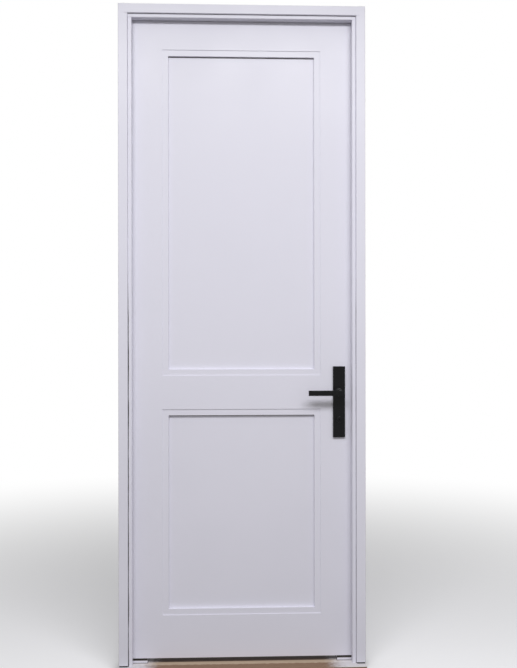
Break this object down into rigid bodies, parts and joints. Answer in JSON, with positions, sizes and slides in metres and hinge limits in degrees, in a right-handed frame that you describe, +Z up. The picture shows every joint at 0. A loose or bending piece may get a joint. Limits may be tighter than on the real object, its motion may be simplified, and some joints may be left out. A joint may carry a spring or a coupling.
{
  "type": "interior door",
  "caption": "White interior door with two recessed panels, a black lever handle on a long plate and butt hinges, hung in its own timber frame on a threshold board.",
  "frame": {"origin": "on the floor under the threshold board, at the middle of the frame's width and of the jambs' depth", "axes": "+X from the hinge side to the lock side, +Y from the front with the stops to the back with the hinge knuckles, +Z up"},
  "size_m": [0.933, 0.1685, 2.512],
  "materials": {
    "frame_paint": "satin white paint on planed timber",
    "leaf_paint": "sprayed satin white paint on smooth board",
    "bare_timber": "bare sawn board with stray white paint",
    "packer_plastic": "dark packing pad",
    "black_finish": "matt black powder coat",
    "lock_steel": "brushed stainless steel"
  },
  "bodies": {
    "frame": {"threshold_board": "bare_timber", "hinge_packer": "packer_plastic", "lock_packer": "packer_plastic", "hinge_foot_block": "frame_paint", "lock_foot_block": "frame_paint", "hinge_jamb": "frame_paint", "lock_jamb": "frame_paint", "head_jamb": "frame_paint", "hinge_stop": "frame_paint", "lock_stop": "frame_paint", "head_stop": "frame_paint", "strike_plate": "lock_steel", "hinge_1_frame_plate": "black_finish", "hinge_2_frame_plate": "black_finish", "hinge_3_frame_plate": "black_finish", "hinge_4_frame_plate": "black_finish", "hinge_1_pin": "black_finish", "hinge_2_pin": "black_finish", "hinge_3_pin": "black_finish", "hinge_4_pin": "black_finish"},
    "leaf": {"hinge_stile": "leaf_paint", "lock_stile": "leaf_paint", "top_rail": "leaf_paint", "mid_rail": "leaf_paint", "bottom_rail": "leaf_paint", "upper_panel": "leaf_paint", "lower_panel": "leaf_paint", "lock_faceplate": "lock_steel", "latch_bolt": "lock_steel", "dead_bolt": "lock_steel", "front_plate": "black_finish", "back_plate": "black_finish", "lock_cylinder": "black_finish", "hinge_1_leaf_plate": "black_finish", "hinge_2_leaf_plate": "black_finish", "hinge_3_leaf_plate": "black_finish", "hinge_4_leaf_plate": "black_finish"},
    "lever": {"front_lever": "black_finish", "back_lever": "black_finish", "spindle": "black_finish"}
  },
  "joints": [
    {"name": "leaf_swing", "type": "hinge", "parent": "frame", "child": "leaf", "pos_m": [-0.429, 0.052, 1.2915], "axis": [0, 0, 1], "range_deg": [0, 170]},
    {"name": "lever_turn", "type": "hinge", "parent": "leaf", "child": "lever", "pos_m": [0.3705, 0.022, 1.045], "axis": [0, -1, 0], "range_deg": [0, 45], "stiffness_Nm_per_rad": 1.2, "springref_deg": -45.84}
  ]
}
